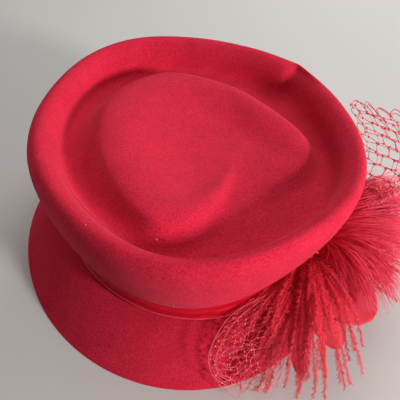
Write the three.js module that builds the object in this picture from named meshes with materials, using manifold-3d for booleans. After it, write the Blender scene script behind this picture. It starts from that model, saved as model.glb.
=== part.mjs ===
// A lady's derby hat of dyed wool felt: a crown whose top edge is one fat roll round a sunken
// top with a raised teardrop tip, a bell brim, a satin ribbon, and a trim of veiling net,
// hackle, broad feathers and ostrich strands at the front right.
// Millimetres, +Z up. The hat stands on the cut edge of its brim at z = 0, its front faces -Y,
// and x = y = 0 is the middle of the head oval.
import * as THREE from 'three';
import { mergeVertices } from 'three/addons/utils/BufferGeometryUtils.js';
import Module from 'manifold-3d';

const wasm = await Module();
wasm.setup();

// Driving dimensions
const feltThick = 2.4;
const gap = 0.35;                     // clear space between neighbouring pieces
const stations = 56;                  // sections round the head
const head = { halfWide: 82, halfLong: 100.5 };   // outside of the felt under the ribbon
const brimEdge = { halfWide: 113.5, halfLong: 136, shiftX: -6.4, shiftY: 4.9 };
const brimTop = 28.4;                 // height at which the brim leaves the head
const brimBell = 1.5;                 // 1 is a straight cone, more is a rounder bell
const edgeWide = 2.9;                 // flat ring on which the brim stands
const seam = 34;                      // height of the joint of brim and crown, under the ribbon
const ribbonLow = 29;
const ribbonHigh = 44;

// The roll: a rounded section carried round a slightly three-cornered oval
const roll = {
  halfWide: 100, halfLong: 119.6, shiftX: 7.7, shiftY: 3.9, height: 86.5, tilt: -0.6,
  threeLobe: 0.0233, threeTurn: 0.49, fiveLobe: -0.0117, fiveTurn: 0.54,
};
// from its middle line to its outer and inner side, its height over and under that line, and how far
// its top leans out: the mean, and what is added towards the right, towards the back, at both sides
// and at the back right and front left
const rollSizes = {
  outer: { mean: 7.8, right: -0.9, back: 1.7, sides: 0.1, corners: 0 },
  inner: { mean: 9.6, right: 0.2, back: 1, sides: 0.4, corners: 0 },
  over: { mean: 12.3, right: -0.5, back: 1, sides: -0.5, corners: 0.5 },
  under: { mean: 18.2, right: -0.4, back: -6, sides: -4.8, corners: 4.7 },
  lean: { mean: 0.12, right: 0.09, back: -0.02, sides: 0, corners: 0 },
};
const pinch = { at: 23, out: 3.6, spread: 6.7 };   // the nipped corner at the right, in degrees and mm
const wallFoot = { run: 1, above: 4 };   // where the roll's inner wall starts to turn in
const floorRun = 5;                   // from the roll's inner wall in to the sunken floor

// The sunken top and its tip
const floorHeight = 77;
const tip = { x: 8, y: -5, height: 82.5 };   // the middle of its dished top
// bearing from the tip's middle in degrees, how far its shoulder and its foot reach, the shoulder's height
const tipOutline = [
  { bearing: 17, shoulder: 60, foot: 75, rim: 91.5 },
  { bearing: 62, shoulder: 73, foot: 89, rim: 92 },
  { bearing: 94, shoulder: 89, foot: 104, rim: 93 },
  { bearing: 130, shoulder: 74, foot: 93, rim: 94.5 },
  { bearing: 154, shoulder: 61, foot: 82, rim: 95.5 },
  { bearing: 184, shoulder: 57, foot: 76, rim: 95.5 },
  { bearing: 215, shoulder: 65, foot: 79, rim: 95.5 },
  { bearing: 246, shoulder: 82, foot: 95, rim: 94.5 },
  { bearing: 257, shoulder: 63, foot: 80, rim: 86 },
  { bearing: 270, shoulder: 51, foot: 71, rim: 80.5 },
  { bearing: 294, shoulder: 50, foot: 69, rim: 80.5 },
  { bearing: 311, shoulder: 57, foot: 74, rim: 83 },
  { bearing: 324, shoulder: 66, foot: 80, rim: 88 },
  { bearing: 342, shoulder: 72, foot: 82, rim: 91.5 },
];

// The trim: roots on the ribbon, given by the angle of the head oval and the height
const ribbonOut = 1.6;                // outside of the ribbon from the felt, over its smooth upper half
const netStrand = 1.1;
const netLength = 60;                 // of a veil, from its gathered end to its free edge
// each veil is gathered between two angles, and its side edges run out through a few points
const frontVeil = {
  columns: 5, rows: 6, height: 40, off: 2.2, puff: { x: 0, y: -2, z: 3 },
  left: { at: -84, through: [{ x: -8, y: -111, z: 28 }, { x: -17, y: -122, z: 18 }, { x: -15, y: -135, z: 7 }] },
  right: { at: -62, through: [{ x: 37, y: -103, z: 25 }, { x: 30, y: -121, z: 13 }, { x: 20, y: -139, z: 4 }] },
};
const backVeil = {
  columns: 5, rows: 6, height: 41, off: gap, puff: { x: 6, y: -5, z: 4 },
  left: { at: -24, through: [{ x: 106, y: -43, z: 57 }, { x: 118, y: -28, z: 82 }, { x: 118, y: -6, z: 101 }] },
  right: { at: -35, through: [{ x: 110, y: -68, z: 60 }, { x: 138, y: -66, z: 74 }, { x: 151, y: -48, z: 93 }] },
};
const boundRadius = 4.2;              // of the bound head of a bunch
const bladeThick = { hackle: 1.3, broad: 0.9, ostrich: 1.6 };
const hackleRoot = { at: -40, height: 41 };
const hackleBlades = [
  { x: 138, y: -49, z: 56, rise: 4, width: 17 },
  { x: 147, y: -62, z: 56, rise: 6, width: 19 },
  { x: 148, y: -78, z: 53, rise: 7, width: 19 },
  { x: 142, y: -94, z: 49, rise: 7, width: 19 },
  { x: 131, y: -107, z: 48, rise: 7, width: 18 },
  { x: 118, y: -117, z: 46, rise: 7, width: 17 },
  { x: 101, y: -127, z: 44, rise: 7, width: 17 },
  { x: 84, y: -130, z: 42, rise: 7, width: 16 },
];
const feathers = [
  { name: 'feather_right', at: -44.5, height: 37, x: 81, y: -129, z: 26, rise: 7, width: 40 },
  { name: 'feather_middle', at: -48, height: 37, x: 57, y: -137, z: 17, rise: 7, width: 28 },
  { name: 'feather_left', at: -51.5, height: 37, x: 28, y: -146, z: 9, rise: 13, width: 19 },
];
const ostrichRoot = { at: -56.5, height: 42 };
const ostrichStrands = [
  { x: -14, y: -119, z: 32, rise: 10, width: 4 },
  { x: 6, y: -113, z: 38, rise: 8, width: 4 },
  { x: 2, y: -128, z: 28, rise: 14, width: 5 },
  { x: 16, y: -126, z: 30, rise: 14, width: 5 },
  { x: 12, y: -147, z: 19, rise: 20, width: 6 },
  { x: 24, y: -155, z: 19, rise: 22, width: 7 },
  { x: 38, y: -160, z: 18, rise: 24, width: 8 },
  { x: 53, y: -160, z: 18, rise: 26, width: 8 },
  { x: 72, y: -146, z: 22, rise: 26, width: 6 },
];

const rad = THREE.MathUtils.degToRad;
const lerp = THREE.MathUtils.lerp;
const clamp = THREE.MathUtils.clamp;
const smooth = (x) => THREE.MathUtils.smoothstep(x, 0, 1);
const point = ({ x, y, z }) => new THREE.Vector3(x, y, z);

// Joins rings of equal length into one closed skin: the last ring goes back to the first,
// or a point closes each end. Rings run anticlockwise seen from the end of the row.
function skin(rings, startPoint, endPoint) {
  const points = rings.flat();
  const n = rings[0].length;
  const faces = [];
  const last = rings.length - (startPoint ? 1 : 0);
  for (let r = 0; r < last; r += 1) {
    const here = r * n;
    const next = ((r + 1) % rings.length) * n;
    for (let i = 0; i < n; i += 1) {
      const j = (i + 1) % n;
      faces.push(here + i, here + j, next + j, here + i, next + j, next + i);
    }
  }
  if (startPoint) {
    const first = points.push(startPoint) - 1;
    const end = points.push(endPoint) - 1;
    const top = (rings.length - 1) * n;
    for (let i = 0; i < n; i += 1) {
      const j = (i + 1) % n;
      faces.push(first, j, i, top + i, top + j, end);
    }
  }
  return new THREE.BufferGeometry().setFromPoints(points).setIndex(faces);
}

// The first section lies on the roll's nipped corner
const stationAngle = (i) => rad(pinch.at) + (i / stations) * 2 * Math.PI;

// An oval ring at one height
function oval(halfWide, halfLong, z, shiftX = 0, shiftY = 0) {
  return Array.from({ length: stations }, (_, i) => {
    const t = stationAngle(i);
    return new THREE.Vector3(shiftX + halfWide * Math.cos(t), shiftY + halfLong * Math.sin(t), z);
  });
}

const headRing = (out, z) => oval(head.halfWide + out, head.halfLong + out, z);

// The middle line of the roll at angle t
function rollLine(t) {
  const off = Math.abs(THREE.MathUtils.euclideanModulo(t - rad(pinch.at) + Math.PI, 2 * Math.PI) - Math.PI);
  const lobe = 1 + roll.threeLobe * Math.cos(3 * t + roll.threeTurn)
    + roll.fiveLobe * Math.cos(5 * t + roll.fiveTurn);
  const nip = pinch.out * Math.exp(-off / rad(pinch.spread));
  return new THREE.Vector3(
    roll.shiftX + (roll.halfWide * lobe + nip) * Math.cos(t),
    roll.shiftY + (roll.halfLong * lobe + nip) * Math.sin(t),
    roll.height + roll.tilt * Math.cos(t),
  );
}

// One of the roll's sizes at angle t
function rollSize({ mean, right, back, sides, corners }, t) {
  return mean + right * Math.cos(t) + back * Math.sin(t) + sides * Math.cos(2 * t) + corners * Math.sin(2 * t);
}

function rollOutward(t) {
  const step = 0.05;
  const along = rollLine(t + step).sub(rollLine(t - step));
  return new THREE.Vector3(along.y, -along.x, 0).normalize();
}

// A point on the roll's section, angle 0 outermost and 90 at the crest
function rollPoint(t, angle) {
  const { outer, inner, over, under, lean } = rollSizes;
  const rise = rollSize(Math.sin(angle) > 0 ? over : under, t) * Math.sin(angle);
  const half = rollSize(Math.cos(angle) > 0 ? outer : inner, t) * Math.cos(angle);
  const p = rollLine(t).addScaledVector(rollOutward(t), half + rollSize(lean, t) * rise);
  p.z += rise;
  return p;
}

// Reads a column of the tip's table at any bearing, on a smooth curve through its rows
function tipReach(column, bearing) {
  const n = tipOutline.length;
  const turn = (k) => tipOutline[(k + n) % n].bearing + 360 * Math.floor(k / n);
  const row = (k) => tipOutline[(k + n) % n][column];
  const here = tipOutline[0].bearing + THREE.MathUtils.euclideanModulo(bearing - tipOutline[0].bearing, 360);
  let k = 0;
  while (k < n - 1 && turn(k + 1) <= here) k += 1;
  const span = turn(k + 1) - turn(k);
  const slope = (j) => (row(j + 1) - row(j - 1)) / (turn(j + 1) - turn(j - 1));
  const x = (here - turn(k)) / span;
  const ease = x * x * (3 - 2 * x);
  return lerp(row(k), row(k + 1), ease)
    + span * (x * (1 - x) ** 2 * slope(k) - x * x * (1 - x) * slope(k + 1));
}

// Height of the sunken top: a flat floor with the teardrop tip rising from it, dished inside its shoulder
function topHeight(x, y) {
  const dx = x - tip.x;
  const dy = y - tip.y;
  const bearing = THREE.MathUtils.radToDeg(Math.atan2(dy, dx));
  const [shoulder, foot, rim] = ['shoulder', 'foot', 'rim'].map((column) => tipReach(column, bearing));
  const reach = Math.hypot(dx, dy);
  const outward = Math.min(1, reach / shoulder);
  const top = lerp(tip.height, rim, outward ** 3 * (4 - 3 * outward));
  return lerp(floorHeight, top, smooth((foot - reach) / (foot - shoulder)));
}

function crownRings() {
  const sectionAngles = [-76, -46, -14, 18, 50, 80, 108, 138, 168].map(rad);
  const angles = Array.from({ length: stations }, (_, i) => stationAngle(i));
  const rings = [headRing(0, seam), headRing(0, ribbonHigh + 3)];
  for (const a of sectionAngles) rings.push(angles.map((t) => rollPoint(t, a)));
  // the foot of the roll's inner wall
  const inWall = (t, run, above) => {
    const p = rollPoint(t, Math.PI).addScaledVector(rollOutward(t), -run);
    return p.setZ(topHeight(p.x, p.y) + above);
  };
  rings.push(angles.map((t) => inWall(t, wallFoot.run, wallFoot.above)));
  rings.push(angles.map((t) => inWall(t, floorRun, 0)));
  // up the tip's flank and across to its middle
  const outward = rings[rings.length - 1].map((p) => Math.atan2(p.y - tip.y, p.x - tip.x));
  const reaches = [[0, 1], [0.5, 0.5], [1, 0], [0.74, 0], [0.4, 0]];
  for (const [shoulder, foot] of reaches) {
    rings.push(outward.map((a) => {
      const bearing = THREE.MathUtils.radToDeg(a);
      const r = shoulder * tipReach('shoulder', bearing) + foot * tipReach('foot', bearing);
      const p = new THREE.Vector3(tip.x + r * Math.cos(a), tip.y + r * Math.sin(a), 0);
      return p.setZ(topHeight(p.x, p.y));
    }));
  }
  return rings;
}

// The felt's inner face: each point goes in along the surface's normal by the felt's thickness
function insideOf(rings) {
  return rings.map((ring, r) => ring.map((p, i) => {
    const n = ring.length;
    const along = ring[(i + 1) % n].clone().sub(ring[(i + n - 1) % n]);
    const up = rings[Math.min(r + 1, rings.length - 1)][i].clone().sub(rings[Math.max(r - 1, 0)][i]);
    const normal = along.cross(up).normalize();
    if (r < 2) normal.setZ(0).normalize();
    return p.clone().addScaledVector(normal, -feltThick);
  }));
}

function crown() {
  const outside = crownRings();
  const inside = insideOf(outside).reverse();
  const middle = new THREE.Vector3(tip.x, tip.y, topHeight(tip.x, tip.y));
  const below = middle.clone().setZ(middle.z - feltThick);
  return skin([...inside, ...outside], below, middle);
}

// The bell between the head oval and the edge, from the outside in: part 0 at the head, 1 at the edge
function brimRing(part, inset) {
  const z = (brimTop - inset) * (1 - part ** brimBell);
  const edgeInset = inset > 0 ? edgeWide : 0;
  return oval(
    lerp(head.halfWide - inset, brimEdge.halfWide - edgeInset, part),
    lerp(head.halfLong - inset, brimEdge.halfLong - edgeInset, part),
    z, brimEdge.shiftX * part, brimEdge.shiftY * part,
  );
}

function brim() {
  const parts = [1, 0.82, 0.62, 0.42, 0.22, 0.06];
  const outside = parts.map((s) => brimRing(s, 0));
  const inside = [...parts].reverse().map((s) => brimRing(s, feltThick));
  const collar = [headRing(0, brimTop + 0.5), headRing(0, seam - gap), headRing(-feltThick, seam - gap)];
  return skin([...outside, ...collar, ...inside]);
}

// The ribbon's section: out is measured from the felt, the lower edge stands off it like a lip
function ribbon() {
  const section = [
    { out: 2.5, z: ribbonLow }, { out: 2.2, z: ribbonLow + 1.6 }, { out: 1.5, z: ribbonLow + 2.4 },
    { out: 1.9, z: ribbonLow + 7 }, { out: 1.5, z: ribbonLow + 7.8 }, { out: 1.5, z: ribbonHigh },
    { out: gap, z: ribbonHigh }, { out: gap, z: ribbonLow + 0.6 },
  ];
  return skin(section.map(({ out, z }) => headRing(out, z)));
}

// A place on the outside of the ribbon and the direction away from it
function ribbonPlace(at, height, off) {
  const t = rad(at);
  const away = new THREE.Vector3(Math.cos(t) / head.halfWide, Math.sin(t) / head.halfLong, 0).normalize();
  const place = new THREE.Vector3(
    (head.halfWide + ribbonOut) * Math.cos(t), (head.halfLong + ribbonOut) * Math.sin(t), height,
  );
  return { place: place.addScaledVector(away, off), away };
}

// A flat tapered blade along a curve that rises before it falls. Its section is a thin lens of
// six points; shape(s) gives the share of the full width at s along it.
function blade(from, to, rise, width, thick, shape, steps = 7) {
  const middle = from.clone().lerp(to, 0.5);
  middle.z += rise;
  const path = new THREE.QuadraticBezierCurve3(from, middle, to);
  const lens = [[1, 0], [0.5, 0.5], [-0.5, 0.5], [-1, 0], [-0.5, -0.5], [0.5, -0.5]];
  const rings = [];
  for (let i = 1; i < steps; i += 1) {
    const s = i / steps;
    const p = path.getPoint(s);
    const ahead = path.getTangent(s);
    const side = ahead.clone().cross(new THREE.Vector3(0, 0, 1)).normalize();
    const over = ahead.clone().cross(side).normalize();
    const half = (width / 2) * shape(s);
    rings.push(lens.map(([a, b]) => p.clone().addScaledVector(side, a * half).addScaledVector(over, b * thick)));
  }
  return skin(rings, from, to);
}

const hackleShape = (s) => 0.18 + 0.82 * Math.sin(Math.PI * Math.min(1, s * 0.62)) ** 1.2;
const broadShape = (s) => Math.max(0.1, Math.sin(Math.PI * s ** 1.5) ** 0.75);
const strandShape = (s) => 0.3 + 0.7 * Math.sin(Math.PI * s) ** 0.6;

function solid(geometry) {
  const bare = new THREE.BufferGeometry().setAttribute('position', geometry.getAttribute('position'));
  const merged = mergeVertices(bare.setIndex(geometry.index), 1e-4);
  return new wasm.Manifold(new wasm.Mesh({
    numProp: 3,
    vertProperties: new Float32Array(merged.attributes.position.array),
    triVerts: new Uint32Array(merged.index.array),
  }));
}

// Joins overlapping pieces into one body
function fuse(geometries) {
  const joined = geometries.map(solid).reduce((a, b) => a.add(b)).getMesh();
  const geometry = new THREE.BufferGeometry();
  geometry.setAttribute('position', new THREE.BufferAttribute(joined.vertProperties, 3));
  return geometry.setIndex(new THREE.BufferAttribute(joined.triVerts, 1));
}

// The bound head of a bunch: a small egg whose back lies against the ribbon
function boundHead({ at, height }, radius) {
  const { place } = ribbonPlace(at, height, radius + gap);
  return { geometry: new THREE.IcosahedronGeometry(radius, 1).translate(place.x, place.y, place.z), place };
}

function hackleFan() {
  const root = boundHead(hackleRoot, boundRadius);
  const blades = hackleBlades.map((b) => blade(
    root.place, point(b), b.rise, b.width, bladeThick.hackle, hackleShape,
  ));
  return fuse([root.geometry, ...blades]);
}

function ostrichSpray() {
  const root = boundHead(ostrichRoot, boundRadius);
  const strands = ostrichStrands.map((b) => blade(
    root.place, point(b), b.rise, b.width, bladeThick.ostrich, strandShape, 8,
  ));
  return fuse([root.geometry, ...strands]);
}

function broadFeather(feather) {
  const { place } = ribbonPlace(feather.at, feather.height, gap);
  return blade(place, point(feather), feather.rise, feather.width, bladeThick.broad, broadShape, 9);
}

// A net: diamond cells on a curved sheet, each with a hole, so that only the strands are left.
// sheet(u, v) gives a point for u across and v from the gathered end to the free edge.
function net(sheet, { columns, rows }, strand) {
  const node = (i, j) => sheet(i / (2 * columns), j / (2 * rows));
  const points = [];
  const faces = [];
  const index = new Map();
  const edges = new Map();
  const add = (p) => points.push(p) - 1;
  const normalAt = (i, j) => {
    const across = node(i + 0.5, j).sub(node(i - 0.5, j));
    return across.cross(node(i, j + 0.5).sub(node(i, j - 0.5))).normalize();
  };
  const pair = (p, normal) => [
    add(p.clone().addScaledVector(normal, strand / 2)), add(p.clone().addScaledVector(normal, -strand / 2)),
  ];
  const corner = (i, j) => {
    const key = `${i},${j}`;
    if (!index.has(key)) index.set(key, pair(node(i, j), normalAt(i, j)));
    return { key, ids: index.get(key) };
  };
  const quad = (a, b, c, d) => faces.push(a, b, c, a, c, d);
  for (let i = 1; i < 2 * columns; i += 1) {
    for (let j = 1; j < 2 * rows; j += 1) {
      if ((i + j) % 2 === 0) continue;
      const normal = normalAt(i, j);
      const around = [[i + 1, j], [i, j + 1], [i - 1, j], [i, j - 1]];
      const ring = around.map(([a, b]) => corner(a, b));
      const at = around.map(([a, b]) => node(a, b));
      const middle = at.reduce((a, b) => a.add(b), new THREE.Vector3()).multiplyScalar(0.25);
      const reach = Math.min(...at.map((p, k) => {
        const line = new THREE.Line3(p, at[(k + 1) % 4]);
        return line.closestPointToPoint(middle, true, new THREE.Vector3()).distanceTo(middle);
      }));
      const share = clamp(strand / 2 / reach, 0, 0.8);
      const hole = at.map((p) => pair(p.clone().lerp(middle, share), normal));
      for (let k = 0; k < 4; k += 1) {
        const m = (k + 1) % 4;
        const [a, b] = [ring[k].ids, ring[m].ids];
        quad(a[0], b[0], hole[m][0], hole[k][0]);
        quad(b[1], a[1], hole[k][1], hole[m][1]);
        quad(hole[k][0], hole[m][0], hole[m][1], hole[k][1]);
        const back = `${ring[m].key}>${ring[k].key}`;
        if (edges.has(back)) edges.delete(back);
        else edges.set(`${ring[k].key}>${ring[m].key}`, [a, b]);
      }
    }
  }
  // walls along the free edges
  for (const [a, b] of edges.values()) quad(a[0], a[1], b[1], b[0]);
  return new THREE.BufferGeometry().setFromPoints(points).setIndex(faces);
}

// A veil's sheet between its two side curves, puffed out in its middle
function veilSheet({ left, right, height, off, puff }) {
  const edge = ({ at, through }) => new THREE.CatmullRomCurve3(
    [ribbonPlace(at, height, off + netStrand / 2).place, ...through.map(point)],
  );
  const [leftEdge, rightEdge] = [edge(left), edge(right)];
  return (u, v) => {
    const w = clamp(v, 0, 1);
    const p = leftEdge.getPoint(w).lerp(rightEdge.getPoint(w), u);
    const swell = Math.sin(Math.PI * clamp(u, 0, 1)) * Math.sin(Math.PI * w);
    return p.addScaledVector(point(puff), swell).addScaledVector(rightEdge.getTangent(w), (v - w) * netLength);
  };
}

// Colours from the dyed wool, satin and feathers
const finishes = {
  felt: { color: 0xc4263b, roughness: 0.95, metalness: 0 },
  satin: { color: 0xaa0f22, roughness: 0.4, metalness: 0 },
  net: { color: 0xb21f30, roughness: 0.6, metalness: 0 },
  feather: { color: 0xbe1e34, roughness: 0.75, metalness: 0 },
};

function piece(name, geometry, finish) {
  const mesh = new THREE.Mesh(geometry, new THREE.MeshStandardMaterial(finishes[finish]));
  mesh.name = name;
  geometry.computeVertexNormals();
  return mesh;
}

const hat = new THREE.Group();
hat.name = 'derby_hat';
hat.add(piece('crown', crown(), 'felt'));
hat.add(piece('brim', brim(), 'felt'));
hat.add(piece('ribbon', ribbon(), 'satin'));

const trim = new THREE.Group();
trim.name = 'trim';
trim.add(piece('veil_front', net(veilSheet(frontVeil), frontVeil, netStrand), 'net'));
trim.add(piece('veil_back', net(veilSheet(backVeil), backVeil, netStrand), 'net'));
trim.add(piece('hackle_fan', hackleFan(), 'feather'));
for (const f of feathers) trim.add(piece(f.name, broadFeather(f), 'feather'));
trim.add(piece('ostrich_spray', ostrichSpray(), 'feather'));
hat.add(trim);

export default hat;
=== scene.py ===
import math
import random
import bmesh
import bpy
from mathutils import Matrix, Vector, noise


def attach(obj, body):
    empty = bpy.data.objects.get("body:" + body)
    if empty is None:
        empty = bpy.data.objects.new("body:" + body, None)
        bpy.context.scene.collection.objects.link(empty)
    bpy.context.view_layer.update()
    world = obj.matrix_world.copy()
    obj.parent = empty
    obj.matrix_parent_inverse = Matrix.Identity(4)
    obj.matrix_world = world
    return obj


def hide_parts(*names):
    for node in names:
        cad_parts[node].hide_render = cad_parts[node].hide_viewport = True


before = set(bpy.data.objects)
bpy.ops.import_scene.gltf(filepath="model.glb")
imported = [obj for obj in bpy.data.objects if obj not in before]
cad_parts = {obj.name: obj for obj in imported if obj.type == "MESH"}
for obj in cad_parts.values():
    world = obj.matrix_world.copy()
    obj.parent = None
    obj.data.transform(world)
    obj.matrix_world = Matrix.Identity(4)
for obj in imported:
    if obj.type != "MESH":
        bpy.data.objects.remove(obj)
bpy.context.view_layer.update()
print("frame loaded:", len(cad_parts), "nodes")

mm = 0.001
gap = 0.35     # between neighbouring pieces
weld = 0.0001     # points nearer than this become one
up = Vector((0, 0, 1))
fullTurn = 2 * math.pi
dice = random.Random(11)
scene = bpy.context.scene
scene.view_settings.view_transform = "Standard"


# small helpers

def mix(a, b, share):
    return a + (b - a) * share


def clamp(x, low=0.0, high=1.0):
    return min(high, max(low, x))


def ease(x):
    x = clamp(x)
    return x * x * (3 - 2 * x)


def turnFrom(t, at):     # the shorter way round
    return (t - at + math.pi) % fullTurn - math.pi


def wave(x, y, z, grain):
    return noise.noise(Vector((x, y, z)) / grain)     # smooth, from -1 to 1


def onCurve(points, w):     # a smooth curve through a few points, w from 0 to 1
    count = len(points) - 1
    k = min(int(clamp(w) * count), count - 1)
    x = clamp(w) * count - k
    a, b = points[k], points[k + 1]
    before = points[k - 1] if k > 0 else a * 2 - b
    after = points[k + 2] if k + 2 <= count else b * 2 - a
    return (b * 2 * x + a * 2 * (1 - x) + (b - before) * x * (1 - x) ** 2
            - (after - a) * x * x * (1 - x) + (b - a) * 2 * (x * x * (3 - 2 * x) - x)) / 2


def ringStack(bm, rings, closed=False):     # the first ring is a circle, each next one is extruded from it
    count = len(rings[0])
    row = bmesh.ops.create_circle(bm, segments=count, radius=1)["verts"]
    firstRow = row

    def edgesOf(loop):
        return [bm.edges.get((loop[i], loop[(i + 1) % count])) for i in range(count)]

    for k, ring in enumerate(rings):
        if k:
            grown = bmesh.ops.extrude_edge_only(bm, edges=edgesOf(row))["geom"]
            fresh = {g for g in grown if isinstance(g, bmesh.types.BMVert)}
            row = [next(e.other_vert(v) for e in v.link_edges if e.other_vert(v) in fresh) for v in row]
        for v, place in zip(row, ring):
            v.co = place * mm
    if closed:
        bmesh.ops.bridge_loops(bm, edges=edgesOf(firstRow) + edgesOf(row))
    return row


def meshOf(bm, name):
    bmesh.ops.recalc_face_normals(bm, faces=bm.faces[:])
    mesh = bpy.data.meshes.new(name)
    bm.to_mesh(mesh)
    bm.free()
    return mesh


def addPiece(name, mesh, finish, slot, *nodes):
    mesh.materials.clear()
    mesh.materials.append(finish)
    mesh.shade_smooth()
    piece = bpy.data.objects.new(name, mesh)
    scene.collection.objects.link(piece)
    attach(piece, "root")
    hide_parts(*nodes)
    print("made", name, len(mesh.polygons), "faces")
    return piece


def thicken(piece, thick, offset):
    wall = piece.modifiers.new("wall", "SOLIDIFY")
    wall.thickness = thick * mm
    wall.offset = offset


def roundOff(piece):
    rounder = piece.modifiers.new("rounder", "SUBSURF")
    rounder.levels = rounder.render_levels = 1


threadSides = 3


def threadMesh(name, threads, radius):     # each thread is a list of points and one of thicknesses
    outline = bpy.data.curves.new("section", "CURVE")
    edge = outline.splines.new("POLY")
    edge.points.add(threadSides - 1)
    for k, corner in enumerate(edge.points):
        turn = fullTurn * k / threadSides
        corner.co = (math.cos(turn) * radius * mm, math.sin(turn) * radius * mm, 0, 1)
    edge.use_cyclic_u = True
    section = bpy.data.objects.new("section", outline)
    scene.collection.objects.link(section)
    curve = bpy.data.curves.new(name, "CURVE")
    curve.dimensions = "3D"
    curve.bevel_mode = "OBJECT"
    curve.bevel_object = section
    curve.use_fill_caps = True
    for points, thick in threads:
        spline = curve.splines.new("POLY")
        spline.points.add(len(points) - 1)
        spline.points.foreach_set("co", [c for p in points for c in (p.x * mm, p.y * mm, p.z * mm, 1)])
        spline.points.foreach_set("radius", thick)
    holder = bpy.data.objects.new(name, curve)
    scene.collection.objects.link(holder)
    graph = bpy.context.evaluated_depsgraph_get()
    mesh = bpy.data.meshes.new_from_object(holder.evaluated_get(graph))
    for made in (holder, section):
        bpy.data.objects.remove(made)
    for made in (curve, outline):
        bpy.data.curves.remove(made)
    bm = bmesh.new()
    bm.from_mesh(mesh)
    bpy.data.meshes.remove(mesh)
    bmesh.ops.remove_doubles(bm, verts=bm.verts[:], dist=weld * mm)     # the caps come loose from the tubes
    return bm


# finishes

def newFinish(name, surface):     # surface gives the shader's plain values
    finish = bpy.data.materials.new(name)
    finish.use_nodes = True
    shader = finish.node_tree.nodes["Principled BSDF"]
    for socket, value in surface.items():
        shader.inputs[socket].default_value = value
    return finish, finish.node_tree, shader


def addNode(tree, kind, **values):
    made = tree.nodes.new(kind)
    for key, value in values.items():
        if key in made.inputs:
            made.inputs[key].default_value = value
        else:
            setattr(made, key, value)
    return made


def feed(tree, socket, value):     # with a link or a plain value
    if isinstance(value, bpy.types.NodeSocket):
        tree.links.new(value, socket)
    else:
        socket.default_value = value


def tones(tree, source, stops):     # a colour ramp over a node's value
    ramp = addNode(tree, "ShaderNodeValToRGB")
    line = ramp.color_ramp
    while len(line.elements) < len(stops):
        line.elements.new(0.5)
    for element, (at, colour) in zip(line.elements, stops):
        element.position = at
        element.color = (*colour, 1)
    tree.links.new(source, ramp.inputs["Fac"])
    return ramp.outputs["Color"]


def blendColours(tree, kind, share, a, b):
    made = addNode(tree, "ShaderNodeMix", data_type="RGBA", blend_type=kind)
    for socket, value in ((0, share), (6, a), (7, b)):     # 6 and 7 are the two colours
        feed(tree, made.inputs[socket], value)
    return made.outputs[2]


def mathNode(tree, kind, a, b=0):
    made = addNode(tree, "ShaderNodeMath", operation=kind)
    for socket, value in zip(made.inputs, (a, b)):
        feed(tree, socket, value)
    return made.outputs[0]


def noiseNode(tree, place, scale, detail, rough):
    made = addNode(tree, "ShaderNodeTexNoise", Scale=scale, Detail=detail, Roughness=rough)
    tree.links.new(place, made.inputs["Vector"])
    return made.outputs["Fac"]


def raised(tree, shader, height, strength, depth):     # fine relief
    bump = addNode(tree, "ShaderNodeBump", Strength=strength, Distance=depth * mm)
    tree.links.new(height, bump.inputs["Height"])
    tree.links.new(bump.outputs["Normal"], shader.inputs["Normal"])


feltLook = {
    "grain": [(0.28, (0.51, 0.003, 0.020)), (0.72, (0.67, 0.027, 0.067))],
    "mottle": [(0.3, (0.90, 0.90, 0.90)), (0.7, (1.06, 1.06, 1.06))],
    # scale, detail and roughness
    "grainNoise": (950, 3, 0.65), "mottleNoise": (70, 4, 0.6), "fuzzNoise": (2600, 2, 0.6),
    "relief": (0.35, 0.6),
    # a few pale specks: how close together they may be, how wide, and above which share they show
    "lint": (0.75, 0.35, 0.36), "lintScale": 85, "lintWide": 0.035, "lintAbove": 0.80,
    "surface": {"Roughness": 0.95, "Specular IOR Level": 0.12, "Sheen Weight": 0.07,
                "Sheen Roughness": 0.45, "Sheen Tint": (1.0, 0.48, 0.58, 1)},
}


def feltFinish():
    look = feltLook
    finish, tree, shader = newFinish("dyed_felt", look["surface"])
    place = addNode(tree, "ShaderNodeTexCoord").outputs["Object"]
    fine = noiseNode(tree, place, *look["grainNoise"])
    patch = noiseNode(tree, place, *look["mottleNoise"])
    fuzz = noiseNode(tree, place, *look["fuzzNoise"])
    grain = tones(tree, fine, look["grain"])
    dyed = blendColours(tree, "MULTIPLY", 1.0, grain, tones(tree, patch, look["mottle"]))
    speck = addNode(tree, "ShaderNodeTexVoronoi", Scale=look["lintScale"])
    tree.links.new(place, speck.inputs["Vector"])
    near = mathNode(tree, "LESS_THAN", speck.outputs["Distance"], look["lintWide"])
    split = addNode(tree, "ShaderNodeSeparateColor")
    tree.links.new(speck.outputs["Color"], split.inputs[0])
    few = mathNode(tree, "GREATER_THAN", split.outputs[0], look["lintAbove"])
    lint = mathNode(tree, "MULTIPLY", near, few)
    linted = blendColours(tree, "MIX", lint, dyed, (*look["lint"], 1))
    tree.links.new(linted, shader.inputs["Base Color"])
    raised(tree, shader, mathNode(tree, "ADD", fine, fuzz), *look["relief"])
    return finish


satinLook = {
    "threads": [(0.3, (0.46, 0.001, 0.012)), (0.7, (0.66, 0.003, 0.022))],
    "threadScale": (60, 60, 2400), "threadNoise": (1, 2, 0.6),     # they run along the ribbon
    # below the bead's top the satin is coloured paler: a painted highlight along the lower edge
    "paintedBeadHighlight": (0.80, 0.055, 0.10), "paintedHighlightTop": 30.4, "relief": (0.25, 0.3),
    "surface": {"Roughness": 0.42, "Specular IOR Level": 0.2},
}


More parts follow.
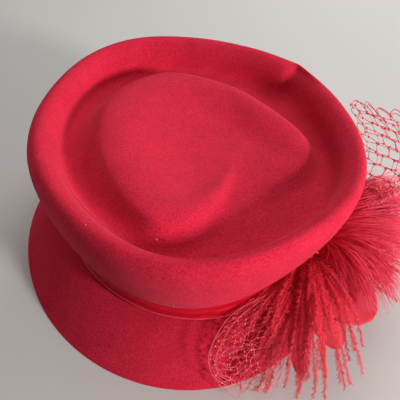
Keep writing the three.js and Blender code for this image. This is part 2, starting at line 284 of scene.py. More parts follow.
def satinFinish():
    look = satinLook
    finish, tree, shader = newFinish("satin_ribbon", look["surface"])
    place = addNode(tree, "ShaderNodeTexCoord").outputs["Object"]
    squeeze = addNode(tree, "ShaderNodeMapping", Scale=look["threadScale"])
    tree.links.new(place, squeeze.inputs["Vector"])
    threads = noiseNode(tree, squeeze.outputs["Vector"], *look["threadNoise"])
    colour = tones(tree, threads, look["threads"])
    # the lower edge is turned over in a bead, coloured paler up to its top as a painted highlight where it
    # catches the light
    parts = addNode(tree, "ShaderNodeSeparateXYZ")
    tree.links.new(place, parts.inputs[0])
    low = mathNode(tree, "LESS_THAN", parts.outputs[2], look["paintedHighlightTop"] * mm)
    withPaintedHighlight = blendColours(tree, "MIX", low, colour, (*look["paintedBeadHighlight"], 1))
    tree.links.new(withPaintedHighlight, shader.inputs["Base Color"])
    raised(tree, shader, threads, *look["relief"])
    return finish


threadLook = {
    # the colours along a thread: painted shade at the bound end, painted light at the free ends
    "stops": (0.08, 0.45, 1.0),
    "apart": [(0.0, (0.82, 0.8, 0.8)), (0.92, (1.05, 1.1, 1.1)), (1.0, (1.1, 3.0, 2.2))],
    "surface": {"Specular IOR Level": 0.3, "Sheen Weight": 0.15, "Sheen Roughness": 0.5,
                "Sheen Tint": (1.0, 0.32, 0.42, 1)},
}


def threadFinish(name, dyeAndPaintedLight):
    # the dye's red, darker near the bound end as painted shade where the fibres crowd and paler towards the
    # thin free ends as painted light, and each thread a little different
    finish, tree, shader = newFinish(name, threadLook["surface"])
    shader.inputs["Roughness"].default_value = dyeAndPaintedLight["rough"]
    place = addNode(tree, "ShaderNodeTexCoord").outputs["Object"]
    away = addNode(tree, "ShaderNodeVectorMath", operation="DISTANCE")
    away.inputs[1].default_value = ribbonPlace(*dyeAndPaintedLight["from"]) * mm
    tree.links.new(place, away.inputs[0])
    along = mathNode(tree, "DIVIDE", away.outputs["Value"], dyeAndPaintedLight["reach"] * mm)
    colour = tones(tree, along, list(zip(threadLook["stops"], dyeAndPaintedLight["colours"])))
    apart = addNode(tree, "ShaderNodeNewGeometry").outputs["Random Per Island"]
    varied = blendColours(tree, "MULTIPLY", 1.0, colour, tones(tree, apart, threadLook["apart"]))
    tree.links.new(varied, shader.inputs["Base Color"])
    return finish


# head oval, crown, brim, ribbon

head = {"wide": 82, "long": 100.5, "stations": 128, "nipAt": math.radians(23), "crowd": 0.55}


def stationAngles():     # closer together at the nipped corner
    count = head["stations"]
    turns = [fullTurn * i / count for i in range(count)]
    return [head["nipAt"] + u - head["crowd"] * math.sin(u) for u in turns]


angles = stationAngles()


def headPlace(t, out, z):
    return Vector(((head["wide"] + out) * math.cos(t), (head["long"] + out) * math.sin(t), z))


crown = {
    "felt": 2.4, "seam": 34, "neckRows": (39, 43, 47),
    "wide": 100, "long": 119.6, "shift": (7.7, 3.9), "height": 86.5, "tilt": -0.6,
    "threeLobe": (0.0233, 0.49), "fiveLobe": (-0.0117, 0.54),
    "nipOut": 3.6, "nipSpread": math.radians(6.7),
    # the roll, from its middle line: mean, added to the right, to the back, at both sides, at the back right
    "outer": (7.8, -0.9, 1.7, 0.1, 0),
    "inner": (9.6, 0.2, 1, 0.4, 0),
    "over": (12.3, -0.5, 1, -0.5, 0.5),
    "under": (18.2, -0.4, -6, -4.8, 4.7),
    "lean": (0.12, 0.09, -0.02, 0, 0),
    "rollTurns": range(-76, 170, 12),
    # a crease inside the nipped corner: it begins past the crest, leans aside and turns from down to out
    "crease": 5.0, "creaseFrom": 1.2, "creaseRun": 0.8,
    "creaseLeft": math.radians(3.2), "creaseRight": math.radians(10),
    "creaseLean": math.radians(-4), "creaseTurn": 1.5, "leanFrom": 0.9, "leanRun": 2.2,
    # down the inner wall: inwards, above the floor
    "wallRows": ((0.1, 8), (1, 4), (2.5, 1.2), (5, 0)), "floor": 77,
    "tipAt": (36, -10), "tipLow": 82, "pastCrest": 1.06, "dishPower": 3,
    # towards the ridge at the left the dish is flatter in its middle, and the floor outside is higher
    "ridgeAt": 202, "ridgeSpread": 48, "ridgeFlat": 2, "ridgeFloor": 7,
    "flankSteps": (0.17, 0.34, 0.5, 0.66, 0.83, 1),
    "dishSteps": (0.88, 0.75, 0.62, 0.49, 0.36, 0.24, 0.12),
    # bearing, reach of the shoulder, reach of the foot, height of the shoulder
    "tipRows": [
        (0, 39, 52, 89), (25, 37, 52, 90), (55, 44, 63, 91), (85, 68, 89, 92), (105, 92, 112, 93),
        (122, 98, 118, 93.5), (140, 96, 117, 94.5), (158, 90, 113, 95.5), (176, 87, 108, 95.5),
        (196, 88, 106.5, 96), (212, 93, 107, 96), (224, 95, 107, 95), (234, 77, 103, 90),
        (242, 54, 87, 82.4), (252, 45, 70, 80.8), (267, 41, 60, 80.6), (285, 39, 56, 81.5),
        (305, 42, 57, 83.5), (322, 44, 56, 85.5), (342, 43, 54, 88),
    ],
    "uneven": 0.35, "unevenGrains": (38, 42), "evenRings": 6,
}


def rollLine(t):
    c = crown
    lobe = 1 + c["threeLobe"][0] * math.cos(3 * t + c["threeLobe"][1])
    lobe += c["fiveLobe"][0] * math.cos(5 * t + c["fiveLobe"][1])
    nip = c["nipOut"] * math.exp(-abs(turnFrom(t, head["nipAt"])) / c["nipSpread"])
    return Vector((c["shift"][0] + (c["wide"] * lobe + nip) * math.cos(t),
                   c["shift"][1] + (c["long"] * lobe + nip) * math.sin(t),
                   c["height"] + c["tilt"] * math.cos(t)))


def rollSize(name, t):
    mean, right, back, sides, corners = crown[name]
    around = right * math.cos(t) + back * math.sin(t)
    return mean + around + sides * math.cos(2 * t) + corners * math.sin(2 * t)


def rollOutward(t):
    near = 0.05
    along = rollLine(t + near) - rollLine(t - near)
    return Vector((along.y, -along.x, 0)).normalized()


def rollPlace(t, turn):     # turn 0 is outermost, 90 degrees the crest
    c = crown
    rise = rollSize("over" if math.sin(turn) > 0 else "under", t) * math.sin(turn)
    half = rollSize("outer" if math.cos(turn) > 0 else "inner", t) * math.cos(turn)
    p = rollLine(t) + rollOutward(t) * (half + rollSize("lean", t) * rise)
    p.z += rise
    inward = clamp((turn - c["leanFrom"]) / c["leanRun"])
    off = turnFrom(t, head["nipAt"] + c["creaseLean"] * inward)
    spread = c["creaseLeft"] if off > 0 else c["creaseRight"]
    fold = c["crease"] * math.exp(-(off / spread) ** 2) * ease((turn - c["creaseFrom"]) / c["creaseRun"])
    swung = inward * c["creaseTurn"]
    return p + rollOutward(t) * fold * math.sin(swung) - up * fold * math.cos(swung)


def tipReach(column, bearing):     # one column of tipRows, smooth between its rows
    rows = crown["tipRows"]
    count = len(rows)
    here = rows[0][0] + (bearing - rows[0][0]) % 360

    def turn(k):
        return rows[k % count][0] + 360 * (k // count)

    def size(k):
        return rows[k % count][column]

    def slope(k):
        return (size(k + 1) - size(k - 1)) / (turn(k + 1) - turn(k - 1))

    k = max(j for j in range(count) if turn(j) <= here)
    span = turn(k + 1) - turn(k)
    x = (here - turn(k)) / span
    bend = x * (1 - x) ** 2 * slope(k) - x * x * (1 - x) * slope(k + 1)
    return mix(size(k), size(k + 1), ease(x)) + span * bend


def topHeight(x, y):
    c = crown
    dx, dy = x - c["tipAt"][0], y - c["tipAt"][1]
    bearing = math.degrees(math.atan2(dy, dx))
    shoulder, foot, rim = (tipReach(column, bearing) for column in (1, 2, 3))
    reach = math.hypot(dx, dy)
    u = c["pastCrest"] * min(1, reach / shoulder)     # highest a little inside the shoulder
    turn = (bearing - c["ridgeAt"] + 180) % 360 - 180
    ridge = math.exp(-(turn / c["ridgeSpread"]) ** 2)
    power = c["dishPower"] + c["ridgeFlat"] * ridge
    top = mix(c["tipLow"], rim, u ** power * (power + 1 - power * u))
    floor = c["floor"] + c["ridgeFloor"] * ridge
    return mix(floor, top, ease((foot - reach) / (foot - shoulder)))


def tipPlace(aim, shoulder, foot):
    turn = math.atan2(aim.y, aim.x)
    reach = shoulder * tipReach(1, math.degrees(turn)) + foot * tipReach(2, math.degrees(turn))
    x = crown["tipAt"][0] + reach * math.cos(turn)
    y = crown["tipAt"][1] + reach * math.sin(turn)
    return Vector((x, y, topHeight(x, y)))


def crownRings():
    c = crown
    rings = [[headPlace(t, 0, z) for t in angles] for z in (c["seam"], *c["neckRows"])]
    rings += [[rollPlace(t, math.radians(turn)) for t in angles] for turn in c["rollTurns"]]
    # down the roll's inner wall to the sunken floor
    for run, above in c["wallRows"]:
        ring = []
        for t in angles:
            p = rollPlace(t, math.pi) - rollOutward(t) * run
            p.z = topHeight(p.x, p.y) + above
            ring.append(p)
        rings.append(ring)
    # across the floor, up the tip's flank and over its dished top
    middle = Vector((*c["tipAt"], 0))
    wallFoot = rings[-1]
    for share in (0.5, 1.0):
        rings.append([mix(p, tipPlace(p - middle, 0, 1), share) for p in wallFoot])
    steps = [(s, 1 - s) for s in c["flankSteps"]] + [(s, 0) for s in c["dishSteps"]]
    for shoulder, foot in steps:
        rings.append([tipPlace(p - middle, shoulder, foot) for p in wallFoot])
    return rings


def makeCrown(finish):
    rings = crownRings()
    grainUp, grainAside = crown["unevenGrains"]
    for ring in rings[crown["evenRings"]:]:     # felt is never quite even
        for p in ring:
            p.z += crown["uneven"] * wave(p.x, p.y, p.z, grainUp)
            p.x += crown["uneven"] * wave(p.y, p.z, p.x, grainAside)
    bm = bmesh.new()
    last = ringStack(bm, rings)
    middle = Vector((*crown["tipAt"], crown["tipLow"])) * mm
    bmesh.ops.pointmerge(bm, verts=last, merge_co=middle)
    mesh = meshOf(bm, "felt_crown")
    if max(mesh.polygons, key=lambda f: f.center.z).normal.z < 0:     # an open shell may face inwards
        mesh.flip_normals()
    piece = addPiece("felt_crown", mesh, finish, "felt", "crown")
    thicken(piece, crown["felt"], -1)
    roundOff(piece)


brim = {
    "felt": 2.4, "top": 28.4, "bell": 1.5, "cut": 2.9,
    "edgeWide": 113.5, "edgeLong": 136, "shift": (-6.4, 4.9),
    "outerRows": (31, 28.9), "innerRows": (28, 31),     # of the collar under the ribbon
    "parts": (0.03, 0.08, 0.15, 0.24, 0.34, 0.45, 0.56, 0.67, 0.78, 0.88, 0.95, 0.985),
    # the cut edge, rounded a little on both sides: inset, lift
    "edge": ((0.1, 0.25), (0.5, 0.02), (1.2, 0), (1.9, 0.02), (2.3, 0.3)),
    "uneven": 0.4, "unevenGrain": 45, "unevenFrom": 1, "unevenTo": 26,
}


def brimPlace(t, part, inset, lift=0.0):
    b = brim
    cut = b["cut"] * min(1, inset / b["felt"])
    wide = mix(head["wide"] - inset, b["edgeWide"] - cut, part)
    long = mix(head["long"] - inset, b["edgeLong"] - cut, part)
    z = (b["top"] - inset) * (1 - part ** b["bell"]) + lift
    return Vector((b["shift"][0] * part + wide * math.cos(t), b["shift"][1] * part + long * math.sin(t), z))


def makeBrim(finish):
    b = brim
    collar = crown["seam"] - gap
    rings = [[headPlace(t, 0, z) for t in angles] for z in (collar, *b["outerRows"])]
    rings += [[brimPlace(t, part, 0) for t in angles] for part in b["parts"]]
    rings += [[brimPlace(t, 1, inset, lift) for t in angles] for inset, lift in b["edge"]]
    rings += [[brimPlace(t, part, b["felt"]) for t in angles] for part in reversed(b["parts"])]
    rings += [[headPlace(t, -b["felt"], z) for t in angles] for z in (*b["innerRows"], collar)]
    for ring in rings:
        for p in ring:
            if b["unevenFrom"] < p.z < b["unevenTo"]:
                p.z += b["uneven"] * wave(p.x, p.y, 0, b["unevenGrain"])
    bm = bmesh.new()
    ringStack(bm, rings, closed=True)
    piece = addPiece("felt_brim", meshOf(bm, "felt_brim"), finish, "felt", "brim")
    roundOff(piece)


ribbon = {
    # out from the felt, height; a bead, a groove, the lower band, a fold and the upper band
    "section": [
        (0.7, 29.2), (1.7, 29.0), (2.4, 29.3), (2.6, 29.9), (2.3, 30.5), (1.5, 30.9), (1.3, 31.4),
        (1.6, 32.1), (1.85, 34), (1.95, 35.6), (1.8, 36.4), (1.35, 36.8), (1.3, 37.3), (1.45, 38.2),
        (1.5, 41), (1.5, 43.4), (1.2, 44.0), (0.5, 43.9), (0.4, 40), (0.4, 34),
    ],
    # between these heights the fold drifts up and down and the outer side swells a little
    "bands": (31, 43.5), "foldDrift": 1.3, "foldEase": 4, "foldWaves": 3,
    "swell": 0.25, "swellOutside": 1.2, "swellWaves": (9, 0.2),
    "trimOut": 1.6,     # where the trim is fastened
}


def makeRibbon(finish):
    r = ribbon
    low, high = r["bands"]
    slow, (fast, upward) = r["foldWaves"], r["swellWaves"]
    rings = []
    for out, z in r["section"]:
        drifts = ease((z - low) / r["foldEase"]) * ease((high - z) / r["foldEase"])
        swells = 1 if out > r["swellOutside"] and low < z < high else 0
        ring = []
        for t in angles:
            x, y = math.cos(t), math.sin(t)
            drift = r["foldDrift"] * wave(x * slow, y * slow, 1, 1) * drifts
            swell = r["swell"] * wave(x * fast, y * fast, z * upward, 1) * swells
            ring.append(headPlace(t, out + swell, z + drift))
        rings.append(ring)
    bm = bmesh.new()
    ringStack(bm, rings, closed=True)
    piece = addPiece("satin_ribbon", meshOf(bm, "satin_ribbon"), finish, "satin", "ribbon")
    roundOff(piece)


# the trim, fastened on the ribbon at the front right

def ribbonPlace(at, height, off):
    t = math.radians(at)
    away = Vector((math.cos(t) / head["wide"], math.sin(t) / head["long"], 0)).normalized()
    return headPlace(t, ribbon["trimOut"], height) + away * off


def scatter(size):
    return Vector([dice.gauss(0, size) for _ in range(3)])


net = {
    "slack": 0.3, "slackAtRoot": 0.2, "sag": 0.22, "layerShorter": 0.05, "knotShare": (0.75, 1.3),
    "edgeLoop": (0.7, 1.3), "edgeThick": 1.15, "edgeSteps": (0, 0.08, 0.2, 0.35, 0.5, 0.65, 0.8, 0.92, 1),
    "sideLoop": 0.55, "sideSteps": (0, 0.2, 0.5, 0.8, 1),
    "arcSteps": 16, "arcThick": (1.3, 0.9), "arcApart": (1.0, 0.6, 0), "arcScatter": 0.25,
    # the red of the dye, darker at the bound end as painted shade and paler at the free ends as painted
    # light
    "dyeAndPaintedLight": {"colours": ((0.60, 0.012, 0.035), (0.90, 0.07, 0.11), (0.95, 0.13, 0.17)),
            "from": (-56, 40, 0), "reach": 70, "rough": 0.55},
}
backVeil = {
    "area": 0.0033, "columns": 5, "rows": 6, "layers": [1, 2.1], "thread": 0.29, "knot": 0.92,
    "tie": 0.44, "height": 41, "off": 0.95, "puff": (5, -6, 3),
    "loose": 0.9, "loop": 4.6, "drift": 0.05, "billow": 2.0, "arcs": [],
    "left": (-24, [(106, -43, 57), (118, -28, 82), (118, -8, 98)]),
    "right": (-35, [(110, -68, 60), (138, -63, 76), (150, -40, 97)]),
}
frontVeil = {
    "area": 0.0020, "columns": 4, "rows": 6, "layers": [0.5, 1.8, 3.2], "thread": 0.17, "knot": 0.6,
    "tie": 0.3, "height": 40, "off": 2.8, "puff": (0, -2, 3),
    "loose": 2.1, "loop": 4.5, "drift": 0.18, "billow": 6,
    "arcs": [
        [(23, -103, 42), (-3, -110, 41), (-19, -121, 30), (-21, -130, 20), (-14, -136, 13)],
        [(20, -104, 41), (-1, -112, 37), (-15, -122, 26), (-17, -129, 18), (-11, -134, 12)],
    ],
    "left": (-84, [(-8, -111, 28), (-17, -122, 18), (-15, -135, 7)]),
    "right": (-62, [(37, -103, 25), (30, -121, 13), (20, -139, 4)]),
}


def veilSheet(veil, layer):
    edges = []
    for side in ("left", "right"):
        at, through = veil[side]
        start = ribbonPlace(at, veil["height"], veil["off"])
        edges.append([start] + [Vector(p) for p in through])
    puff = Vector(veil["puff"]) * veil["layers"][layer]

    def place(u, v):
        # the net is never pulled even: it drifts sideways and billows, each layer in its own way
        u += veil["drift"] * v * wave(u * 2.2, v * 2.6, layer * 7 + 3, 1)
        v += veil["drift"] * 0.6 * v * wave(u * 2.4, v * 2.2, layer * 7 + 9, 1)
        p = onCurve(edges[0], v).lerp(onCurve(edges[1], v), u)
        swell = math.sin(math.pi * clamp(u, 0.06, 0.94)) * math.sin(math.pi * clamp(v))
        billow = Vector([wave(u * 3, v * 3, layer * 5 + k * 11, 1) for k in range(3)])
        return p + puff * swell + billow * veil["billow"] * v
    return place


def looped(a, b, out, steps):     # from a to b by way of out
    return [a.lerp(b, s) + out * math.sin(math.pi * s) for s in steps]


def netThreads(veil, layer):
    columns, rows = veil["columns"] * 2, veil["rows"] * 2
    sheet = veilSheet(veil, layer)
    knots = {}     # two by two, because the threads run side by side from one to the other
    half = veil["tie"] / rows
    for i in range(columns + 1):
        for j in range(rows + 1):
            u = (i + 0.5 * (layer % 2)) / (columns + 0.5)
            v = j / rows * (1 - net["layerShorter"] * layer)
            slack = scatter(net["slack"]) * veil["loose"] * (net["slackAtRoot"] + j / rows)
            knots[i, j] = [sheet(u, max(0, v - half)) + slack, sheet(u, v + half) + slack]
    threads = []
    for k in range(columns):
        points = []
        for j in range(rows + 1):
            low, high = knots[k if (k + j) % 2 == 0 else k + 1, j]
            if points:     # it sags a little between two knots
                points.append((points[-1] + low) / 2 + scatter(net["sag"]) * veil["loose"])
            if points or k % 2 == 0:     # of the two threads that share a first knot, one starts past it
                points.append(low)
            points.append(high)
        threads.append((points, [1.0] * len(points)))
    # loops along the free edge
    for i in range(rows % 2, columns - 1, 2):
        ahead = knots[i + 1, rows][1] - knots[i + 1, rows - 2][1]
        out = ahead.normalized() * veil["loop"] * dice.uniform(*net["edgeLoop"])
        points = looped(knots[i, rows][1], knots[i + 2, rows][1], out, net["edgeSteps"])
        threads.append((points, [net["edgeThick"]] * len(points)))
    # loops down both sides
    for i, inner in ((0, 2), (columns, columns - 2)):
        for j in range(i % 2, rows - 1, 2):
            aside = knots[i, j + 1][0] - knots[inner, j + 1][0]
            out = aside.normalized() * veil["loop"] * net["sideLoop"]
            points = looped(knots[i, j][1], knots[i, j + 2][0], out, net["sideSteps"])
            threads.append((points, [1.0] * len(points)))
    tied = [p for (i, j), pair in knots.items() if (i + j) % 2 == 0 and j > 1 for p in pair]
    return threads, tied


def longLoops(veil):     # the cut edge of the net hangs in long arcs beside it, two by two
    count = net["arcSteps"] + 1
    apart = Vector(net["arcApart"])
    threads = []
    for points in veil["arcs"]:
        bent = [Vector(p) for p in points]
        line = [onCurve(bent, k / net["arcSteps"]) for k in range(count)]
        beside = [p + scatter(net["arcScatter"]) + apart for p in line]
        for path, thick in zip((line, beside), net["arcThick"]):
            threads.append((path, [thick] * count))
    return threads


def makeVeil(name, veil, finish, node):
    threads = longLoops(veil)
    tied = []
    for layer in range(len(veil["layers"])):
        more, knots = netThreads(veil, layer)
        threads += more
        tied += knots
    bm = threadMesh(name, threads, veil["thread"])
    for p in tied:
        turn = Matrix.Rotation(dice.uniform(0, 6), 4, "X")
        size = veil["knot"] * dice.uniform(*net["knotShare"]) * mm
        bmesh.ops.create_icosphere(bm, subdivisions=1, radius=size, matrix=Matrix.Translation(p * mm) @ turn)
    piece = addPiece(name, meshOf(bm, name), finish, "net", node)


def arched(root, tip, rise, swing=0.0):     # a path that rises before it falls, and may swing aside
    aside = (tip - root).cross(up).normalized() * swing
    peak = root.lerp(tip, 0.5) + up * rise + aside

    def place(s):
        return root * (1 - s) ** 2 + peak * 2 * s * (1 - s) + tip * s * s
    return place


boundRadius = 3.6


def addBoundHead(bm, root):     # where a bundle is wrapped together
    at = Matrix.Translation(root * mm)
    bmesh.ops.create_uvsphere(bm, u_segments=16, v_segments=10, radius=boundRadius * mm, matrix=at)


hackle = {
    "at": -40, "height": 41, "off": 4.5, "locks": 150, "barbs": 34, "thick": 0.21,
    # a lock: how long, which layer, how it arches and swings
    "shortest": 0.42, "longMore": 0.55, "layer": (0.3, 1), "layerApart": 3.2, "layerRise": 2,
    "rise": 9, "swing": -0.20, "swingShare": (0.3, 1.7), "rootScatter": 1.3, "tipScatter": 2,
    # its barbs: where they start and end, how far they part, ripple and stray
    "start": (0, 0.3), "end": (0.72, 1.06), "lockWide": 3.2, "lockHigh": 0.6, "lockRound": 1.9,
    "ripple": 0.7, "rippleTurn": 4, "stray": 3.5, "strayUp": 0.5, "strayShare": 0.12,
    "taper": [1, 1, 0.95, 0.85, 0.7, 0.5, 0.25],
    # the rim of the fan, from its upper side round to its lower one
    "rim": [
        (140, -42, 60), (150, -62, 58), (146, -82, 55), (137, -100, 51), (120, -117, 47), (101, -128, 44),
        (83, -132, 41), (66, -122, 42),
    ],
    # the red of the dye, darker at the bound end as painted shade and paler at the free ends as painted
    # light
    "dyeAndPaintedLight": {"colours": ((0.80, 0.006, 0.028), (1.0, 0.035, 0.095), (1.0, 0.12, 0.20)),
            "from": (-40, 41, 4.5), "reach": 80, "rough": 0.5},
}


def makeHackle(finish):
    h = hackle
    root = ribbonPlace(h["at"], h["height"], h["off"])
    rim = [Vector(p) for p in h["rim"]]
    last = len(h["taper"]) - 1
    threads = []
    for _ in range(h["locks"]):
        share = mix(h["shortest"], 1.0, dice.random() ** h["longMore"])
        layer = dice.gauss(*h["layer"])
        reach = root.lerp(onCurve(rim, dice.random()), share)
        tip = reach + up * layer * h["layerApart"] * share + scatter(h["tipScatter"])
        foot = root + scatter(h["rootScatter"])
        swing = h["swing"] * (tip - root).length * dice.uniform(*h["swingShare"])
        path = arched(foot, tip, h["rise"] * share + layer * h["layerRise"], swing)
        aside = (tip - root).cross(up).normalized()
        over = aside.cross(tip - root).normalized()
        for _ in range(h["barbs"]):
            start, end = dice.uniform(*h["start"]), dice.uniform(*h["end"])
            spread, lift, turn = dice.gauss(0, 1), dice.gauss(0, h["lockHigh"]), dice.uniform(0, 6.3)
            stray = dice.gauss(0, h["stray"]) if dice.random() < h["strayShare"] else 0
            points = []
            for k in range(last + 1):
                f = k / last
                wide = h["lockWide"] * math.sin(h["lockRound"] * f)
                ripple = h["ripple"] * math.sin(turn + h["rippleTurn"] * f) * f
                sideways = aside * (spread * wide + ripple + stray * f * f)
                upwards = over * (lift * wide + stray * h["strayUp"] * f * f)
                points.append(path(mix(start, end, f)) + sideways + upwards)
            threads.append((points, h["taper"]))
    bm = threadMesh("hackle_barbs", threads, h["thick"])
    addBoundHead(bm, root)
    addPiece("hackle_barbs", meshOf(bm, "hackle_barbs"), finish, "feather", "hackle_fan")


ostrich = {
    "at": -51, "height": 43, "off": 7, "thick": 0.40, "taper": (1.1, 0.4), "steps": 14,
    "rootScatter": 0.8, "swing": 5, "bend": 5, "riseShare": (0.6, 1.15),
    "apart": 0.9, "apartUp": 0.4, "reachShare": (0.66, 1.03),
    "flue": 2.5, "flueShare": (0.5, 1.25), "flueShorter": 0.35, "flueThick": 0.17, "flueEnd": 0.5,
    "flueLean": 0.8, "flueScatter": 0.45, "every": 0.22, "bare": (0.1, 0.15),
    # tip, rise on the way, how far the copies spread, number of copies
    "strands": [
        (-12, -120, 30, 12, 4, 3), (8, -114, 37, 8, 4, 3), (2, -137, 13, 20, 5, 5),
        (13, -129, 30, 14, 5, 4), (10, -149, 14, 22, 6, 5), (20, -156, 17, 24, 6, 6),
        (30, -161, 20, 26, 6, 6), (44, -164, 20, 28, 6, 4), (60, -156, 22, 26, 4, 2),
        (66, -146, 34, 20, 2, 2), (94, -128, 38, 14, 3, 1), (6, -146, 10, 18, 6, 4),
        (24, -152, 12, 20, 6, 5),
    ],
    # the red of the dye, darker at the bound end as painted shade and paler at the free ends as painted
    # light
    "dyeAndPaintedLight": {"colours": ((0.70, 0.003, 0.018), (0.97, 0.030, 0.070), (1.0, 0.075, 0.120)),
            "from": (-51, 43, 4.5), "reach": 85, "rough": 0.55},
}


def addFlue(threads, path):     # short barbs on both sides of a strand, none near its root
    o = ostrich
    pieces = 20
    length = sum((path((k + 1) / pieces) - path(k / pieces)).length for k in range(pieces))
    count = int(length / o["every"])
    thick = o["flueThick"] / o["thick"]
    near = 0.02
    for k in range(count):
        s = (k + dice.random()) / count
        if s < o["bare"][0] + o["bare"][1] * dice.random():
            continue
        ahead = (path(min(1, s + near)) - path(s - near)).normalized()
        aside = ahead.cross(up).normalized() * dice.choice((-1, 1)) + scatter(o["flueScatter"])
        aside = (aside - ahead * aside.dot(ahead)).normalized()
        size = o["flue"] * dice.uniform(*o["flueShare"]) * (1 - o["flueShorter"] * s)
        end = path(s) + aside * size + ahead * size * o["flueLean"]
        threads.append(([path(s), end], [thick, thick * o["flueEnd"]]))


def makeOstrich(finish):
    o = ostrich
    root = ribbonPlace(o["at"], o["height"], o["off"])
    along = [k / o["steps"] for k in range(o["steps"] + 1)]
    threads = []
    for x, y, z, rise, width, copies in o["strands"]:
        for number in range(copies):     # the first one goes to the tip itself
            astray = Vector((dice.gauss(0, 1), dice.gauss(0, 1), dice.gauss(0, o["apartUp"])))
            shift = astray * width * o["apart"] * min(number, 1)
            reach = 1 if number == 0 else dice.uniform(*o["reachShare"])
            tip = root.lerp(Vector((x, y, z)) + shift, reach)
            foot = root + scatter(o["rootScatter"])
            arc = arched(foot, tip, rise * dice.uniform(*o["riseShare"]), dice.gauss(0, o["swing"]))
            sway = (tip - root).cross(up).normalized() * dice.gauss(0, o["bend"])

            def path(s):     # the limp end swings aside
                return arc(s) + sway * s ** 3

            threads.append(([path(s) for s in along], [mix(*o["taper"], s) for s in along]))
            addFlue(threads, path)
    bm = threadMesh("ostrich_strands", threads, o["thick"])
    addBoundHead(bm, root)
    addPiece("ostrich_strands", meshOf(bm, "ostrich_strands"), finish, "feather", "ostrich_spray")


feathers = {
    "right": {"at": -44.5, "height": 37, "tip": (81, -129, 26), "rise": 7, "width": 40},
    "middle": {"at": -48, "height": 37, "tip": (57, -136, 17), "rise": 7, "width": 24},
    "left": {"at": -51.5, "height": 37, "tip": (30, -142, 10), "rise": 7, "width": 14},
}
vane = {
    "thick": 0.35, "across": 24, "along": 48, "broadest": 0.62, "rootShare": 0.10, "endLeast": 0.004,
    "ragged": 0.05, "raggedWaves": 30, "cup": 0.14, "ripple": 0.5, "rippleWaves": (7, 1.5),
    "shaft": (0.7, 0.2), "shaftWide": 0.08,
    "barbs": [(0.3, (0.50, 0.004, 0.024)), (0.7, (0.68, 0.014, 0.042))],
    "rootShade": [(0.0, (0.62, 0.5, 0.5)), (0.6, (1, 1, 1))],
    "barbSlant": 0.5, "barbScale": (130, 5), "barbNoise": (1, 3, 0.6), "relief": (0.3, 0.4),
    "surface": {"Roughness": 0.6, "Sheen Weight": 0.06, "Sheen Tint": (1.0, 0.5, 0.55, 1)},
}


def vaneFinish():
    finish, tree, shader = newFinish("feather_vane", vane["surface"])
    parts = addNode(tree, "ShaderNodeSeparateXYZ")
    tree.links.new(addNode(tree, "ShaderNodeTexCoord").outputs["UV"], parts.inputs[0])
    across, along = parts.outputs[0], parts.outputs[1]
    # barbs slant from the shaft towards the tip
    offMiddle = mathNode(tree, "ABSOLUTE", mathNode(tree, "SUBTRACT", across, 0.5))
    slant = mathNode(tree, "SUBTRACT", along, mathNode(tree, "MULTIPLY", offMiddle, vane["barbSlant"]))
    joined = addNode(tree, "ShaderNodeCombineXYZ")
    for socket, value, scale in zip(joined.inputs, (slant, offMiddle), vane["barbScale"]):
        tree.links.new(mathNode(tree, "MULTIPLY", value, scale), socket)
    barbs = noiseNode(tree, joined.outputs[0], *vane["barbNoise"])
    colour = tones(tree, barbs, vane["barbs"])
    shaded = blendColours(tree, "MULTIPLY", 1.0, colour, tones(tree, along, vane["rootShade"]))
    tree.links.new(shaded, shader.inputs["Base Color"])
    raised(tree, shader, barbs, *vane["relief"])
    return finish


def vaneWidth(s):     # narrow at the root, broadest past the middle, with a round end
    broadest = vane["broadest"]
    if s > broadest:
        return math.sqrt(max(vane["endLeast"], 1 - ((s - broadest) / (1 - broadest)) ** 2))
    return mix(vane["rootShare"], 1, ease(s / broadest))


def makeFeather(name, feather, finish, node):
    root = ribbonPlace(feather["at"], feather["height"], gap)
    path = arched(root, Vector(feather["tip"]), feather["rise"])
    near = 0.02
    wavesAlong, wavesAcross = vane["rippleWaves"]
    bm = bmesh.new()
    bm.loops.layers.uv.new("vane")
    bmesh.ops.create_grid(bm, x_segments=vane["across"], y_segments=vane["along"], size=0.5, calc_uvs=True)
    for v in bm.verts:
        across, s = v.co.x * 2, v.co.y + 0.5
        ahead = (path(s + near) - path(s - near)).normalized()
        side = ahead.cross(up).normalized()
        over = side.cross(ahead)
        torn = wave(s * vane["raggedWaves"], feather["at"], across, 1)
        half = feather["width"] / 2 * vaneWidth(s) * (1 + vane["ragged"] * abs(across) ** 4 * torn)
        lift = -vane["cup"] * half * across * across
        lift += vane["ripple"] * wave(s * wavesAlong, across * wavesAcross, feather["at"], 1)
        lift += mix(*vane["shaft"], s) * math.exp(-(across / vane["shaftWide"]) ** 2)     # it stands proud
        v.co = (path(s) + side * across * half + over * lift) * mm
    piece = addPiece(name, meshOf(bm, name), finish, "feather", node)
    thicken(piece, vane["thick"], 0)


# build everything, in this order because the pieces share the dice

felt = feltFinish()
makeCrown(felt)
makeBrim(felt)
makeRibbon(satinFinish())
netFinish = threadFinish("net_thread", net["dyeAndPaintedLight"])
makeVeil("net_front", frontVeil, netFinish, "veil_front")
makeVeil("net_back", backVeil, netFinish, "veil_back")
makeHackle(threadFinish("hackle_barb", hackle["dyeAndPaintedLight"]))
feathered = vaneFinish()
for side, feather in feathers.items():
    makeFeather("vane_" + side, feather, feathered, "feather_" + side)
makeOstrich(threadFinish("ostrich_flue", ostrich["dyeAndPaintedLight"]))


# floor, light and camera

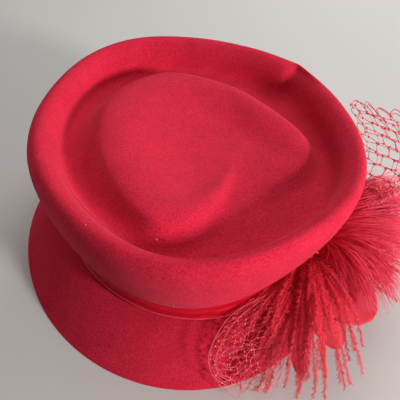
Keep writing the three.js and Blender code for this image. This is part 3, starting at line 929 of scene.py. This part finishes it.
stage = {
    "floor": {"Base Color": (0.55, 0.53, 0.51, 1), "Roughness": 0.8}, "floorSize": 3,
    "lightAim": (0, 0, 0.06), "sky": ((1.0, 0.98, 0.96, 1), 0.07),
    # place, size, power; the key light is low, from the front right
    "lights": {
        "key": ((0.70, -1.02, 0.44), 0.20, 18.6),
        "back_right": ((0.695, 0.695, 0.748), 0.8, 8.2),
        "back_left": ((-0.695, 0.695, 0.748), 0.8, 1.8),
        "top": ((0, 0, 1.3), 1.2, 4.7),
    },
}


def makeFloor():
    bm = bmesh.new()
    bmesh.ops.create_grid(bm, x_segments=1, y_segments=1, size=stage["floorSize"])
    mesh = meshOf(bm, "floor")
    mesh.materials.append(newFinish("pale_floor", stage["floor"])[0])
    floor = bpy.data.objects.new("floor", mesh)
    scene.collection.objects.link(floor)


def addLight(name, place, size, power):
    lamp = bpy.data.lights.new(name, "AREA")
    lamp.size = size
    lamp.energy = power
    holder = bpy.data.objects.new(name, lamp)
    scene.collection.objects.link(holder)
    holder.location = place
    holder.rotation_euler = (Vector(stage["lightAim"]) - Vector(place)).to_track_quat("-Z", "Y").to_euler()


def makeSky():
    sky = bpy.data.worlds.new("sky")
    sky.use_nodes = True
    for socket, value in zip(sky.node_tree.nodes["Background"].inputs, stage["sky"]):
        socket.default_value = value
    scene.world = sky


# found from the outlines of the hat in the photo
view = {
    "place": (-67.5, -260.7, 286.5), "ahead": (0.2116, 0.6949, -0.6873), "right": (0.9566, -0.2913, 0),
    "sensor": 36, "lens": 45, "nearest": 10,
}


def makeCamera():
    ahead = Vector(view["ahead"]).normalized()
    right = Vector(view["right"]).normalized()
    turn = Matrix((right, right.cross(ahead), -ahead)).transposed().to_4x4()
    lens = bpy.data.cameras.new("camera")
    lens.sensor_width = view["sensor"]
    lens.lens = view["lens"]
    lens.clip_start = view["nearest"] * mm
    holder = bpy.data.objects.new("camera", lens)
    scene.collection.objects.link(holder)
    holder.matrix_world = Matrix.Translation(Vector(view["place"]) * mm) @ turn
    scene.camera = holder


makeFloor()
for name, (place, size, power) in stage["lights"].items():
    addLight(name, place, size, power)
makeSky()
makeCamera()
print("floor, lights, sky and camera are in")
